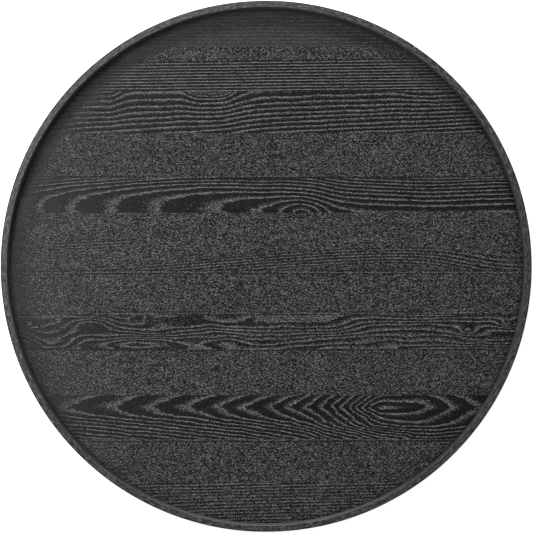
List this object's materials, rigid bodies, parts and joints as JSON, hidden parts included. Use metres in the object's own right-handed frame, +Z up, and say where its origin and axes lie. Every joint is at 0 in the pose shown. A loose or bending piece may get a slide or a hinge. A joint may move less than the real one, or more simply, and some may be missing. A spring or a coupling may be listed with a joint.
{
  "type": "serving tray",
  "caption": "Large round black-stained wooden serving tray: flat edge-glued board panel with brushed grain inside a low bent-wood hoop.",
  "frame": {"origin": "middle of the tray's circle, at the height the rubber pads stand on", "axes": "+Z up out of the open side, +X along the grain of the boards, +Y across the boards towards the back"},
  "size_m": [0.711, 0.711, 0.044],
  "materials": {
    "board_wood": "black stain, wire-brushed open grain, matt",
    "hoop_wood": "black stain, fine grain along the hoop, satin",
    "batten_wood": "black stain, plain sawn, matt",
    "screw_steel": "black zinc plate",
    "brad_steel": "bright wire, sunk under filler",
    "pad_rubber": "matt"
  },
  "bodies": {
    "root": {"panel_board_01": "board_wood", "panel_board_02": "board_wood", "panel_board_03": "board_wood", "panel_board_04": "board_wood", "panel_board_05": "board_wood", "panel_board_06": "board_wood", "panel_board_07": "board_wood", "panel_board_08": "board_wood", "panel_board_09": "board_wood", "panel_board_10": "board_wood", "panel_board_11": "board_wood", "panel_board_12": "board_wood", "rim_hoop": "hoop_wood", "batten_left": "batten_wood", "batten_right": "batten_wood", "batten_screw_01": "screw_steel", "batten_screw_02": "screw_steel", "batten_screw_03": "screw_steel", "batten_screw_04": "screw_steel", "batten_screw_05": "screw_steel", "batten_screw_06": "screw_steel", "batten_screw_07": "screw_steel", "batten_screw_08": "screw_steel", "batten_screw_09": "screw_steel", "batten_screw_10": "screw_steel", "hoop_brad_01": "brad_steel", "hoop_brad_02": "brad_steel", "hoop_brad_03": "brad_steel", "hoop_brad_04": "brad_steel", "hoop_brad_05": "brad_steel", "hoop_brad_06": "brad_steel", "hoop_brad_07": "brad_steel", "hoop_brad_08": "brad_steel", "hoop_brad_09": "brad_steel", "hoop_brad_10": "brad_steel", "hoop_brad_11": "brad_steel", "hoop_brad_12": "brad_steel", "rubber_pad_1": "pad_rubber", "rubber_pad_2": "pad_rubber", "rubber_pad_3": "pad_rubber", "rubber_pad_4": "pad_rubber", "rubber_pad_5": "pad_rubber", "rubber_pad_6": "pad_rubber"}
  },
  "joints": []
}
